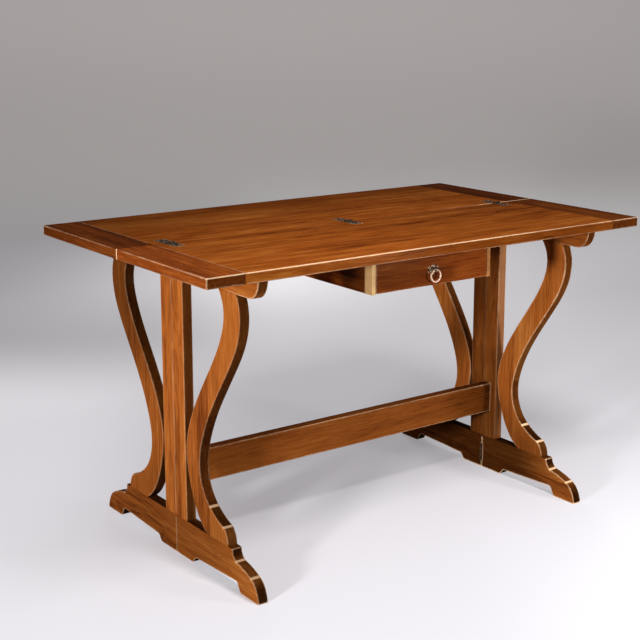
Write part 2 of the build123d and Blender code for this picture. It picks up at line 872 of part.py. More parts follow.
with BuildPart() as pull_nut:
    with BuildSketch(Plane(origin=(0, drawer_front_back, pull_level), z_dir=(0, 1, 0))):
        RegularPolygon(pull_nut_width / 2, 6, major_radius=False)
        Circle(pull_stud_radius + pin_play, mode=Mode.SUBTRACT)
    extrude(amount=pull_nut_thickness)
save(pull_nut, "pull_nut")

with BuildPart() as pull_ring:
    with BuildSketch(Plane(origin=(0, pull_eye_y, pull_level), x_dir=(0, 1, 0), z_dir=(1, 0, 0))):
        Circle(ring_wire_radius)
    revolve(axis=Axis((0, pull_eye_y, pull_level - ring_radius), (0, 1, 0)))
save(pull_ring, "pull_ring")
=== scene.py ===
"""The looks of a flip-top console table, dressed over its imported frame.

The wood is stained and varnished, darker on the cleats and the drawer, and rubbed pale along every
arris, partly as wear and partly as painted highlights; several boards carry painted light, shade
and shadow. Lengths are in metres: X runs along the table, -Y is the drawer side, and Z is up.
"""

import json
import logging
import math
from collections.abc import Callable
from dataclasses import dataclass, replace
from enum import Enum, IntEnum

import bmesh
import bpy
import numpy as np
from mathutils import Matrix, Vector


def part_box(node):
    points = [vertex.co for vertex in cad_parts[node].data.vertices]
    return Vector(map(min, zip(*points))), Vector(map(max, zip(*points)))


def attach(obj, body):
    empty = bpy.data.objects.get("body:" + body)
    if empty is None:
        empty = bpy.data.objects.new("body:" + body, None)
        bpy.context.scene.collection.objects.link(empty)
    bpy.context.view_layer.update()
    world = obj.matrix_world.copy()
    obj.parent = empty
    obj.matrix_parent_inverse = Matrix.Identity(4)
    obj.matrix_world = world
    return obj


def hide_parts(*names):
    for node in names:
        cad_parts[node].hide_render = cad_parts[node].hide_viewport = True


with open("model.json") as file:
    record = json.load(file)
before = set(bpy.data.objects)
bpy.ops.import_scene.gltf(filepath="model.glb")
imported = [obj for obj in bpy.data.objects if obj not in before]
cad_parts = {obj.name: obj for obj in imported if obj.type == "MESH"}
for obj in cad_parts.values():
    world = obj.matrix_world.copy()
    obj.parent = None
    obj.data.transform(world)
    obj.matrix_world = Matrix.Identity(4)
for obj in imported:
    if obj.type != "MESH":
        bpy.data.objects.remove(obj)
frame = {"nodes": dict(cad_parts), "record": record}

log = logging.getLogger("table")

Object, Material, Socket = bpy.types.Object, bpy.types.Material, bpy.types.NodeSocket
Colour = tuple[float, float, float]
Settings = dict[str, object]
Inputs = dict[int | str, object]

MM = 0.001
MERGE_DISTANCE = 0.002 * MM
FLAT_ANGLE = math.radians(0.5)
SHARP_ANGLE = math.radians(32)
CREASE_ANGLE = math.radians(40)
ROUNDING = 0.35 * MM
EDGE_RAYS = 6
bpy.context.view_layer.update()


# Shader expressions


def operator(operation: str) -> Callable[["Value", "Value | float"], "Value"]:
    """Makes the method behind an arithmetic sign."""
    return lambda value, other: value.math(operation, other)


class Value:
    """A shader socket that takes part in Python expressions."""

    def __init__(self, tree: "ShaderTree", socket: Socket) -> None:
        """Wraps a socket of a tree."""
        self.tree = tree
        self.socket = socket

    def math(self, operation: str, *others: "Value | float") -> "Value":
        """Adds a Math node whose inputs are this value and the others."""
        return self.tree.node("Math", {"operation": operation}, dict(enumerate((self, *others))))

    __add__ = __radd__ = operator("ADD")
    __sub__ = operator("SUBTRACT")
    __mul__ = __rmul__ = operator("MULTIPLY")
    __truediv__ = operator("DIVIDE")

    def __rsub__(self, other: float) -> "Value":
        """A number less this value."""
        return self.tree.node("Math", {"operation": "SUBTRACT"}, {0: other, 1: self})

    def __abs__(self) -> "Value":
        """This value without its sign."""
        return self.math("ABSOLUTE")

    def step(self, low: float, high: float) -> "Value":
        """Rises smoothly from 0 to 1 as this value goes from low to high.

        Args:
            low: Where the result is 0. It may be above high.
            high: Where the result is 1.

        Returns:
            The smooth step.
        """
        upwards = {"interpolation_type": "SMOOTHSTEP", "clamp": True}
        ends = (low, high, 0.0, 1.0) if low < high else (high, low, 1.0, 0.0)
        return self.tree.node("MapRange", upwards, dict(enumerate((self, *ends))))


Axes = tuple[Value, Value, Value]


class ShaderTree:
    """A material and the one way in which its nodes are made."""

    def __init__(self, name: str) -> None:
        """Makes a material, which comes with a Principled shader and an output.

        Args:
            name: The material's name.
        """
        self.material = bpy.data.materials.new(name)
        self.material.use_nodes = True
        self.nodes, self.links = self.material.node_tree.nodes, self.material.node_tree.links
        self.output, self.shader = self.nodes["Material Output"], self.nodes["Principled BSDF"]
        self.place = self.node("TexCoord", {}, {}, "Object")

    def node(self, kind: str, settings: Settings, inputs: Inputs, output: int | str = 0) -> Value:
        """Adds any node.

        Args:
            kind: The node's type, without its prefix.
            settings: Its attributes, which are set first.
            inputs: The value or link of each socket, by index or name.
            output: Which output the caller wants.

        Returns:
            That output.
        """
        made = self.nodes.new(f"ShaderNode{kind}")
        for key, value in settings.items():
            setattr(made, key, value)
        for key, value in inputs.items():
            self.feed(made.inputs[key], value)
        return Value(self, made.outputs[output])

    def feed(self, socket: Socket, value: object) -> None:
        """Fills an input.

        Args:
            socket: The input.
            value: A Value to link to it, or a plain number or colour to write on it.
        """
        if isinstance(value, Value):
            self.links.new(value.socket, socket)
        elif isinstance(value, tuple) and socket.type == "RGBA":
            socket.default_value = (*value, 1.0)
        else:
            socket.default_value = value

    def principled(self, **sockets: object) -> Material:
        """Feeds the Principled shader.

        Args:
            sockets: Its inputs, with underscores for spaces.

        Returns:
            The finished material.
        """
        for key, value in sockets.items():
            self.feed(self.shader.inputs[key.replace("_", " ")], value)
        return self.material

    def mix(self, share: Value | float, low: Value | Colour, high: Value | Colour) -> Value:
        """Mixes two colours, all low at share 0 and all high at share 1."""
        settings = {"data_type": "RGBA", "clamp_factor": True}
        return self.node("Mix", settings, {0: share, 6: low, 7: high}, 2)

    def scaled(self, colour: Value, share: Value | float) -> Value:
        """Multiplies a colour by a number."""
        grey = self.vector(share, share, share)
        return self.node("VectorMath", {"operation": "MULTIPLY"}, {0: colour, 1: grey})

    def parts(self, vector: Value) -> Axes:
        """The X, Y and Z of a vector."""
        split = self.node("SeparateXYZ", {}, {0: vector}).socket.node
        return tuple(Value(self, output) for output in split.outputs)

    def vector(self, x: Value | float, y: Value | float, z: Value | float) -> Value:
        """A vector of three values."""
        return self.node("CombineXYZ", {}, {0: x, 1: y, 2: z})

    def noise(self, place: Value, detail: float, rough: float, scale: float = 1.0) -> Value:
        """Smooth noise about 0.5 at a place."""
        inputs = {"Vector": place, "Scale": scale, "Detail": detail, "Roughness": rough}
        return self.node("TexNoise", {}, inputs)

    def outer_edge(self, reach: float) -> Value:
        """How near a convex edge a point lies: 0 away from edges, and about 0.5 on a square one.

        Rays are cast inwards, and near an edge many of them meet the next face.
        """
        settings = {"samples": EDGE_RAYS, "inside": True, "only_local": True}
        return 1 - self.node("AmbientOcclusion", settings, {"Distance": reach}, "AO")

    def glow(self, share: Value, colour: Value) -> None:
        """Mixes light of a strength of 1 into the shader.

        Args:
            share: How much of the mix is light.
            colour: The light's colour.
        """
        light = self.node("Emission", {}, {"Color": colour, "Strength": 1.0})
        both = {0: share, 1: Value(self, self.shader.outputs[0]), 2: light}
        self.feed(self.output.inputs[0], self.node("MixShader", {}, both))

    def bump(self, height: Value, strength: float, distance: float) -> Value:
        """A bumped normal."""
        return self.node("Bump", {}, {"Strength": strength, "Distance": distance, "Height": height})


# Finishes


class Grain(Enum):
    """The way that a board's grain runs, as the order of its along, across and through axes."""

    LENGTHWISE = (0, 1, 2)
    CROSSWISE = (1, 0, 2)
    LENGTHWISE_ON_EDGE = (0, 2, 1)
    CROSSWISE_ON_EDGE = (1, 2, 0)
    UPRIGHT = (2, 1, 0)


class Way(IntEnum):
    """What a change along a board is measured by: X, the distance from the seam, or height."""

    X = 0
    OUT = 1
    UP = 2


@dataclass(frozen=True)
class Spot:
    """A point of a surface: its place, its face's normal, and how far along each Way it is."""

    place: Axes
    normal: Axes
    ways: Axes

    @classmethod
    def of(cls, tree: ShaderTree) -> "Spot":
        """The spot that a material is shading."""
        x, y, z = tree.parts(tree.place)
        normal = tree.parts(tree.node("TexCoord", {}, {}, "Normal"))
        return cls((x, y, z), normal, (x, abs(y), z))


@dataclass(frozen=True)
class Fade:
    """A slow change along a board, which paints shade and shadow where a board fades, and scales
    wear where it is rubbed or sheltered.

    Attributes:
        way: What it is measured by.
        start: Where the board has only a share of its shade.
        end: Where it has its whole shade.
        share: That share.
        facing: -1 or 1 where it spares the faces that look the other way along X.
    """

    way: Way
    start: float
    end: float
    share: float
    facing: int = 0

    def over(self, spot: Spot) -> Value:
        """How much of its shade the board has.

        Args:
            spot: Where.

        Returns:
            A share from 0 to 1.
        """
        whole = spot.ways[self.way].step(self.start, self.end)
        if self.facing:
            away = (spot.normal[0] * -self.facing).step(0.0, 0.5)
            whole = whole.math("MAXIMUM", away)
        return whole * (1 - self.share) + self.share


@dataclass(frozen=True)
class Board:
    """What sets one board apart from the others of its finish.

    Attributes:
        grain: The way its grain runs.
        shade: How light it is, where 1 is as its finish says: partly its own tone and partly
            painted light and shade.
        rim: How light the sawn faces that look to the front are beside the broad ones, as painted
            shade.
        back_rim_painted_shade: The same painted shade for those that look to the back.
        wear: How much of its finish's wear its edges have.
        end: How light its end grain is beside its faces.
        painted_shades: Where it is darker than its shade, as painted shade and shadow.
        rubs_and_painted_light: Where it is rubbed pale, as wear and as painted light, by each
            fade's share at its start.
        shelters: Where its edges and rubbed places have only a share of their wear.
        ridges: Where its outline turns a corner, as (distance from the seam, height) pairs.
        joints: Heights where it meets flush boards, so that its edges aren't rubbed.
        joint_reach: How far from the seam those joints go.
    """

    grain: Grain
    shade: float = 1.0
    rim: float = 1.0
    back_rim_painted_shade: float = 0.75
    wear: float = 1.0
    end: float = 0.30
    painted_shades: tuple[Fade, ...] = ()
    rubs_and_painted_light: tuple[Fade, ...] = ()
    shelters: tuple[Fade, ...] = ()
    ridges: tuple[tuple[float, float], ...] = ()
    joints: tuple[float, ...] = ()
    joint_reach: float = 248 * MM

    def shade_at(self, spot: Spot) -> Value:
        """How light the board is beside its own shade, with painted shade on its rims and where it
        fades.

        Args:
            spot: Where.

        Returns:
            A factor for the stain's colour.
        """
        end_grain = abs(spot.normal[self.grain.value[0]]).step(0.55, 0.95)
        shade = 1 - end_grain * (1 - self.end)
        # Painted shade: sawn faces that look to the front are darker, those to the back a little
        # less.
        if self.rim != 1:
            looks_back = spot.normal[1].step(0.0, 0.5)
            rim = looks_back * (self.back_rim_painted_shade - self.rim) + self.rim
            sawn = abs(spot.normal[0]).step(0.75, 0.35)
            shade = shade * (1 - sawn * (1 - rim))
        # Painted shade and shadow along the board.
        for fade in self.painted_shades:
            shade = shade * fade.over(spot)
        return shade

    def wear_at(self, spot: Spot, wear_and_painted_light: Value, scuffs: Value) -> Value:
        """How pale a spot is, from wear and from painted light.

        Args:
            spot: Where.
            wear_and_painted_light: How pale its edges would be by themselves, from wear.
            scuffs: The noise that makes wear uneven.

        Returns:
            That paleness with the board's rubbed places, some of them painted light, and its
            shelters and joints.
        """
        # Rubbed places are pale wear; on the right post and the case's left side they are partly
        # painted light and a painted highlight.
        for rub in self.rubs_and_painted_light:
            bare = spot.ways[rub.way].step(rub.end, rub.start) * (scuffs * 0.6 + 0.7)
            wear_and_painted_light = wear_and_painted_light.math("MAXIMUM", bare * rub.share)
        for shelter in self.shelters:
            wear_and_painted_light = wear_and_painted_light * shelter.over(spot)
        for height in self.joints:
            clear = abs(spot.ways[Way.UP] - height).step(3 * MM, 8 * MM)
            beyond = spot.ways[Way.OUT].step(self.joint_reach, self.joint_reach + 4 * MM)
            wear_and_painted_light = wear_and_painted_light * clear.math("MAXIMUM", beyond)
        return wear_and_painted_light

    def ridges_near(self, spot: Spot) -> list[Value]:
        """How near each ridge of the outline is.

        Args:
            spot: Where.

        Returns:
            A value for each ridge: 0 at 7 mm from it and 1 at 1 mm.
        """
        nearness = []
        for reach, height in self.ridges:
            side, rise = spot.ways[Way.OUT] - reach, spot.ways[Way.UP] - height
            distance = (side * side + rise * rise).math("SQRT")
            nearness.append(distance.step(7 * MM, 1 * MM))
        return nearness


@dataclass(frozen=True)
class TopEdges:
    """How the edges of the two leaves are rubbed.

    The front is how far the front edge is from the seam, and the cleats' joints are so far from the
    middle. A wear is a share of the finish's: where the leaves meet, on the lower edges that hands
    don't reach, and at the front of the left cleat's joint. A line is how pale the front arris is
    at the left and at the right, partly as wear and partly as a painted highlight, and the seam at
    both ends of the top, with a tail further in.
    """

    height: float = 762 * MM
    thickness: float = 24 * MM
    front: float = 390 * MM
    cleat_joint: float = 556 * MM
    seam_wear: float = 0.03
    lower_wear: float = 0.50
    front_joint_wear: float = 0.40
    left_line: float = 0.46
    right_line: float = 0.17
    seam_line: float = 0.95
    seam_tail: float = 0.30

    def on_top(self, spot: Spot) -> Value:
        """1 on the top's surface, and 0 lower than 1.5 mm below it."""
        return spot.ways[Way.UP].step(self.height - 1.5 * MM, self.height - 0.5 * MM)

    def wear_at(self, spot: Spot) -> Value:
        """The share of a leaf's wear that its edges have.

        It is little where the leaves meet. Where a cleat meets its panel, only the left joint shows
        on top, most of all at the back, and the joints are clean on the leaf's edge.

        Args:
            spot: Where.

        Returns:
            A share from 0 to 1.
        """
        x, y, z = spot.place
        outer = spot.ways[Way.OUT].step(10 * MM, 40 * MM) * (1 - self.seam_wear) + self.seam_wear
        bottom = self.height - self.thickness
        upper = z.step(bottom + 1 * MM, bottom + 5 * MM)
        outer = outer * (upper * (1 - self.lower_wear) + self.lower_wear)
        at_joint = abs(abs(x) - self.cleat_joint).step(7 * MM, 3 * MM)
        to_back = y.step(-self.front, 50 * MM)
        shown = self.on_top(spot) * x.step(100 * MM, -100 * MM)
        shown = shown * (to_back * (1 - self.front_joint_wear) + self.front_joint_wear)
        return outer * (1 - at_joint * (1 - shown))

    def pale_lines(self, spot: Spot) -> Value:
        """The pale lines along the front arris, partly wear and partly a painted highlight, and at
        both ends of the seam.

        Args:
            spot: Where.

        Returns:
            How pale they are there, or 0 beside them.
        """
        x, y, z = spot.place
        # The front arris line: partly wear, partly a painted highlight.
        arris = y.step(3.4 * MM - self.front, 2.0 * MM - self.front)
        arris = arris * z.step(self.height - 2.6 * MM, self.height - 1.4 * MM)
        to_left = x.step(340 * MM, 0.0)
        arris = arris * (to_left * (self.left_line - self.right_line) + self.right_line)
        right_end = x.step(430 * MM, 480 * MM) + x.step(250 * MM, 430 * MM) * self.seam_tail
        right_end = right_end.math("MINIMUM", 1.0) * self.on_top(spot)
        left_end = x.step(-646.5 * MM, -648 * MM)
        seam = spot.ways[Way.OUT].step(2.4 * MM, 1.2 * MM)
        seam = seam * (right_end.math("MAXIMUM", left_end) * self.seam_line)
        return arris.math("MAXIMUM", seam)


@dataclass(frozen=True)
class Streaks:
    """Noise that is drawn out along the grain.

    Its rates are in changes per metre. Its share is how much of the pattern it makes, or how much
    it darkens the stain.
    """

    along: float
    across: float
    detail: float
    rough: float
    share: float

    def noise(self, tree: ShaderTree, grain: Axes) -> Value:
        """The noise at a place.

        Args:
            tree: The material.
            grain: The place along, across and through the grain.

        Returns:
            The noise, about 0.5.
        """
        rates = (self.along, self.across, self.across)
        place = tree.vector(*(axis * rate for axis, rate in zip(grain, rates)))
        return tree.noise(place, self.detail, self.rough)


@dataclass(frozen=True)
class WoodFinish:
    """Stained and varnished wood, solid right through the board.

    Its rings are circles round a pith that lies below the board, so they show as long arches along
    the grain and as arcs across it. A wide board is glued up from staves that differ a little.
    """

    slot: str
    dark: Colour
    middle: Colour
    light: Colour
    # The pale colour of wear, and of painted highlights and light.
    wear_and_painted_light: Colour = (0.86, 0.56, 0.34)
    wear: float = 1.0
    wear_reach: float = 2.6 * MM
    contrast: float = 1.0
    streaks: tuple[Streaks, ...] = (
        Streaks(15, 210, 4.0, 0.65, 0.36),
        Streaks(3.6, 50, 4.0, 0.60, 0.34),
        Streaks(2.4, 8, 3.0, 0.55, 0.30),
    )
    pores: Streaks = Streaks(34, 900, 1.0, 0.50, 0.30)
    lines: Streaks = Streaks(4, 330, 2.0, 0.50, 0.34)
    ring_spacing: float = 2.4 * MM
    ring_share: float = 0.16
    pith_depth: float = 110 * MM
    stave_width: float = 130 * MM
    stave_share: float = 0.25
    dent_scale: float = 95.0
    dent_share: float = 0.45
    scuff_scale: float = 38.0
    handling_scale: float = 7.0
    roughness: float = 0.42
    rough_spread: float = 0.16
    gloss: float = 0.0
    varnish: float = 0.04
    varnish_roughness: float = 0.14
    burnish: float = 0.40
    relief: float = 0.25 * MM
    edges: TopEdges | None = None

    def material(self, name: str, cut: Board, seed: int) -> Material:
        """Builds the wood of one piece.

        Args:
            name: The material's name.
            cut: How the board is cut, stained and rubbed.
            seed: Which part of the log it comes from.

        Returns:
            The material.
        """
        tree = ShaderTree(name)
        spot = Spot.of(tree)
        draw = np.random.default_rng(seed)
        shift = draw.uniform(-3.0, 3.0, 3).tolist()
        lean = float(draw.uniform(-0.05, 0.05))
        along, across, through = (spot.place[i] for i in cut.grain.value)
        stave = ((across + (lean + 10 * self.stave_width)) / self.stave_width).math("FLOOR")
        stave = tree.node("TexWhiteNoise", {"noise_dimensions": "1D"}, {1: stave + seed})
        along = along + (stave * 2.0 + shift[0])
        grain = (along, across, through)
        figure = self.figure(tree, (along, across + shift[1], through + shift[2]))
        tone = (figure - 0.5) * (3.4 * self.contrast) + 0.5
        tone = tone + self.rings(tree, grain, stave, shift[1]) * self.ring_share
        tone = tone + (stave - 0.5) * self.stave_share

        pores = self.pores.noise(tree, grain)
        dark_pores = pores.step(0.62, 0.72) * self.pores.share
        dark_lines = self.lines.noise(tree, grain).step(0.60, 0.72) * self.lines.share
        colour = tree.scaled(self.stain(tree, tone, cut.shade), 1 - dark_pores - dark_lines)
        # Painted light and shade: the board's rims and where it fades.
        colour = tree.scaled(colour, cut.shade_at(spot))

        dents = tree.noise(tree.place, 3.0, 0.6, self.dent_scale).step(0.735, 0.775)
        scuffs = tree.noise(tree.place, 4.0, 0.65, self.scuff_scale)
        handling = tree.noise(tree.place, 2.0, 0.5, self.handling_scale)
        uneven = (scuffs - 0.5) * 0.40 + (handling - 0.5) * 0.36
        wear_and_painted_light = (tree.outer_edge(self.wear_reach) + uneven).step(0.19, 0.38)
        if self.edges:
            wear_and_painted_light = wear_and_painted_light * self.edges.wear_at(spot)
        wear_and_painted_light = cut.wear_at(spot, wear_and_painted_light, scuffs)
        coat = self.varnish
        # At each ridge the varnish is glossier, and the pale band is partly wear and partly a
        # painted highlight.
        for near in cut.ridges_near(spot):
            coat = near * self.burnish + coat
            wear_and_painted_light = wear_and_painted_light.math("MAXIMUM", (near + uneven * 0.9).step(0.35, 0.85))
        wear_and_painted_light = wear_and_painted_light * (self.wear * cut.wear)
        # The top's pale lines are partly wear and partly a painted highlight.
        if self.edges:
            wear_and_painted_light = wear_and_painted_light.math("MAXIMUM", self.edges.pale_lines(spot))
        colour = tree.mix(dents * self.dent_share, colour, self.wear_and_painted_light)
        height = pores.step(0.60, 0.76) * -0.5 + figure * 0.35 - dents * 0.8
        return tree.principled(
            Base_Color=tree.mix(wear_and_painted_light, colour, self.wear_and_painted_light),
            Roughness=scuffs * self.rough_spread + (self.roughness - self.rough_spread / 2),
            Specular_IOR_Level=self.gloss, Coat_Weight=coat, Coat_Roughness=self.varnish_roughness,
            Normal=tree.bump(height, 0.22, self.relief),
        )

    def stain(self, tree: ShaderTree, tone: Value, shade: float) -> Value:
        """The stain's colour.

        Args:
            tree: The material.
            tone: 0 for the dark stain, about 0.5 for the middle one and 1 for the light one.
            shade: A factor for all three.

        Returns:
            The colour.
        """
        dark, middle, light = (
            tuple(shade * channel for channel in stain)
            for stain in (self.dark, self.middle, self.light)
        )
        colour = tree.mix(tone.step(0.02, 0.55), dark, middle)
        return tree.mix(tone.step(0.50, 1.0), colour, light)

    def figure(self, tree: ShaderTree, grain: Axes) -> Value:
        """The stain's streaks: fine ones, broad ones and clouds, each by its share."""
        fine, broad, cloud = (each.noise(tree, grain) * each.share for each in self.streaks)
        return fine + broad + cloud

    def rings(self, tree: ShaderTree, grain: Axes, stave: Value, shift: float) -> Value:
        """Growth rings: the distance from the pith, cut into bands that darken towards one end.

        Args:
            tree: The material.
            grain: The place along, across and through the grain.
            stave: The stave's own number from 0 to 1, which moves its pith aside.
            shift: Which part of the log it is.

        Returns:
            0.3 between rings, and -0.6 on them.
        """
        along, across, through = grain
        warp = tree.noise(tree.vector(along * 1.3, across * 5 + shift, through * 5), 3.0, 0.5)
        side = across + (stave - 0.5) * 0.05 + (warp - 0.5) * 0.035
        depth = through + (warp * 0.05 + self.pith_depth)
        band = ((side * side + depth * depth).math("SQRT") / self.ring_spacing).math("FRACT")
        return band.step(0.25, 0.98) * band.step(1.0, 0.93) * -0.9 + 0.3


@dataclass(frozen=True)
class MetalFinish:
    """Cast or wrought metal with a dark patina that is rubbed off its edges."""

    slot: str
    patina: Colour
    bare: Colour
    roughness: float = 0.42
    rough_spread: float = 0.24
    metallic: float = 0.9
    gloss: float = 0.5
    rub_reach: float = 1.2 * MM
    blotch_scale: float = 160.0
    hammer_size: float = 5 * MM
    hammer_depth: float = 0.25 * MM

    def material(self, name: str, seed: int) -> Material:
        """Builds the metal of one piece.

        Args:
            name: The material's name.
            seed: Moves the pattern, so that like pieces differ.

        Returns:
            The material.
        """
        tree = ShaderTree(name)
        shift = np.random.default_rng(seed).uniform(-1, 1, 3).tolist()
        place = tree.node("VectorMath", {"operation": "ADD"}, {0: tree.place, 1: shift})
        blotch = tree.noise(place, 4.0, 0.6, self.blotch_scale)
        blows = {"Vector": place, "Scale": 1 / self.hammer_size, "Smoothness": 0.6}
        beaten = tree.node("TexVoronoi", {"feature": "SMOOTH_F1"}, blows)
        rub = tree.outer_edge(self.rub_reach) + (blotch - 0.5) * 0.5
        bright = rub.step(0.18, 0.42) * 0.8 + blotch.step(0.56, 0.72) * 0.25
        colour = tree.mix(bright, self.patina, self.bare)
        rough = blotch * self.rough_spread + (self.roughness - self.rough_spread / 2)
        return tree.principled(
            Base_Color=colour, Metallic=self.metallic, Specular_IOR_Level=self.gloss,
            Roughness=rough - bright * 0.08,
            Normal=tree.bump(beaten + blotch * 0.3, 0.4, self.hammer_depth),
        )


TOP_WOOD = WoodFinish(
    "top_panel_wood", (0.095, 0.018, 0.003), (0.29, 0.068, 0.008), (0.45, 0.14, 0.022),
    wear_and_painted_light=(0.96, 0.66, 0.4), wear_reach=3.6 * MM, varnish=0.015, edges=TopEdges(),
)
CLEAT_WOOD = WoodFinish(
    "cleat_wood", (0.055, 0.011, 0.003), (0.15, 0.032, 0.005), (0.26, 0.066, 0.01),
    wear_and_painted_light=(0.96, 0.66, 0.4), wear_reach=3.8 * MM, varnish=0.02, edges=TopEdges(),
)
FRAME_WOOD = WoodFinish(
    "frame_wood", (0.13, 0.028, 0.005), (0.345, 0.093, 0.015), (0.505, 0.178, 0.036),
    wear_and_painted_light=(0.9, 0.58, 0.33), wear=0.9, wear_reach=4.6 * MM, contrast=0.8, varnish=0.02,
)
DRAWER_WOOD = WoodFinish(
    "drawer_wood", (0.075, 0.014, 0.003), (0.21, 0.045, 0.006), (0.36, 0.1, 0.015),
)
# Its golden pale colour serves wear and the painted band of light on the case's left side.
CASE_WOOD = replace(DRAWER_WOOD, wear_and_painted_light=(0.92, 0.58, 0.25))
INNER_WOOD = WoodFinish(
    "plain_inner_wood", (0.3, 0.17, 0.075), (0.44, 0.28, 0.14), (0.54, 0.37, 0.205),
    wear_and_painted_light=(0.62, 0.46, 0.28), wear=0.5, roughness=0.6, varnish=0.0,
)
TOP_BRONZE = MetalFinish(
    "bronze_top_hinges", (0.03, 0.017, 0.009), (0.23, 0.135, 0.07),
    roughness=0.62, metallic=0.1, gloss=0.08,
)
GATE_IRON = MetalFinish("dark_gate_hinges", (0.06, 0.028, 0.012), (0.2, 0.12, 0.06))
PLATE_BRASS = MetalFinish(
    "brass_pull", (0.15, 0.095, 0.055), (0.7, 0.52, 0.37), roughness=0.4, metallic=0.7,
    hammer_size=3 * MM, hammer_depth=0.12 * MM,
)
RING_BRASS = replace(
    PLATE_BRASS, patina=(0.62, 0.4, 0.28), bare=(0.98, 0.74, 0.57), metallic=0.45,
    hammer_depth=0.08 * MM,
)
SCREW_STEEL = MetalFinish(
    "steel_screws", (0.11, 0.085, 0.06), (0.52, 0.44, 0.34), roughness=0.4,
    hammer_size=2 * MM, hammer_depth=0.05 * MM,
)


# Making pieces


class Bench:
    """Makes pieces from the frame's nodes and from surfaces, and sends them to their bodies."""

    def __init__(self, record: dict) -> None:
        """Notes which body holds each node.

        Args:
            record: The part's record.
        """
        bodies = record["behaviour"]["bodies"]
        self.body_of = {node: body for body, nodes in bodies.items() for node in nodes}
        self.seed = 0

    def next_seed(self) -> int:
        """A new seed, in the order in which pieces are made."""
        self.seed += 1
        return self.seed

    def seat(self, piece: Object, node: str, slot: str, material: Material) -> None:
        """Adds a piece that stands for a node."""
        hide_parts(node)
        self.add(piece, node, slot, material)

    def add(self, piece: Object, node: str, slot: str, material: Material) -> None:
        """Gives a piece its material and body.

        Args:
            piece: The finished piece.
            node: A node of the body that it rides on.
            slot: The record's material slot; not used.
            material: Its material.
        """
        body = self.body_of[node]
        piece.data.materials.clear()
        piece.data.materials.append(material)
        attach(piece, body)
        log.info("%s: %d faces, on %s", piece.name, len(piece.data.polygons), body)

    def copy(self, node: str, name: str, rounding: float) -> Object:
        """A smooth copy of a node, with its triangles merged.

        Args:
            node: The node that is copied.
            name: The copy's name.
            rounding: The radius of its edges, or 0 to keep them sharp.

        Returns:
            The copy.
        """
        mesh = frame["nodes"][node].data.copy()
        mesh.name = name
        work = bmesh.new()
        work.from_mesh(mesh)
        bmesh.ops.remove_doubles(work, verts=work.verts, dist=MERGE_DISTANCE)
        bmesh.ops.dissolve_limit(work, angle_limit=FLAT_ANGLE, verts=work.verts, edges=work.edges)
        work.to_mesh(mesh)
        work.free()
        mesh.shade_smooth()
        mesh.set_sharp_from_angle(angle=SHARP_ANGLE)
        piece = placed(name, mesh)
        if rounding > 0:
            bevel = piece.modifiers.new("rounded_edges", "BEVEL")
            bevel.width, bevel.segments = rounding, 2
            bevel.limit_method, bevel.angle_limit = "ANGLE", SHARP_ANGLE
            bevel.harden_normals = True
        return piece

    def wood(self, node: str, finish: WoodFinish, cut: Board) -> None:
        """Adds a wooden piece that stands for a node."""
        piece = self.copy(node, f"{node}_board", ROUNDING)
        self.seat(piece, node, finish.slot, finish.material(piece.name, cut, self.next_seed()))

    def metal(self, node: str, finish: MetalFinish, finer: Object | None = None) -> None:
        """Adds a metal piece that stands for a node: its copy, or a finer piece."""
        piece = finer or self.copy(node, f"{node}_metal", 0.0)
        self.seat(piece, node, finish.slot, finish.material(piece.name, self.next_seed()))


# The table


HANDS = ("left", "right")
HALVES = ("front", "back")
HINGE_PLACES = ("left", "middle", "right")
POST_EDGE = float(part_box("back_post_right")[1][1])  # from the seam to a post's far face


@dataclass
class Top:
    """Two leaves, each a panel with a cleat across each end."""

    bench: Bench
    right_shelter: Fade = Fade(Way.X, 0.45, 0.10, 0.55)
    # The right cleats' end faces stay light and their tops are darker, as painted light and shade.
    right_end: Fade = Fade(Way.X, 646 * MM, 649 * MM, 0.53)
    # Painted shade on the front panel's front face.
    front_face_painted_shade: Fade = Fade(Way.OUT, 389.9 * MM, 389.5 * MM, 0.62)

    def build(self) -> None:
        """Dresses the panels and the cleats."""
        # The front panel is darker to the right and towards the seam, and the back panel towards
        # its back edge and to the left, as painted shade; the cleats' shades are partly their tone
        # and partly painted light and shade.
        boards = {
            "front_leaf_panel": Board(
                Grain.LENGTHWISE, 1.02, shelters=(self.right_shelter,), painted_shades=(
                    Fade(Way.X, 0.30, -0.25, 0.78), Fade(Way.OUT, 0.0, 0.25, 0.90), self.front_face_painted_shade,
                ),
            ),
            "front_leaf_cleat_left": Board(Grain.CROSSWISE, 1.45, wear=0.75),
            "front_leaf_cleat_right": Board(
                Grain.CROSSWISE, 1.30, wear=0.80, end=0.60, painted_shades=(self.right_end,)
            ),
            "back_leaf_panel": Board(
                Grain.LENGTHWISE, 0.94, wear=0.35, shelters=(self.right_shelter,),
                painted_shades=(Fade(Way.OUT, 0.39, 0.03, 0.70), Fade(Way.X, -0.60, -0.20, 0.85)),
            ),
            "back_leaf_cleat_left": Board(Grain.CROSSWISE, 0.80, wear=0.45),
            "back_leaf_cleat_right": Board(
                Grain.CROSSWISE, 1.25, wear=0.70, end=0.60, painted_shades=(self.right_end,)
            ),
        }
        for node, board in boards.items():
            self.bench.wood(node, TOP_WOOD if node.endswith("panel") else CLEAT_WOOD, board)


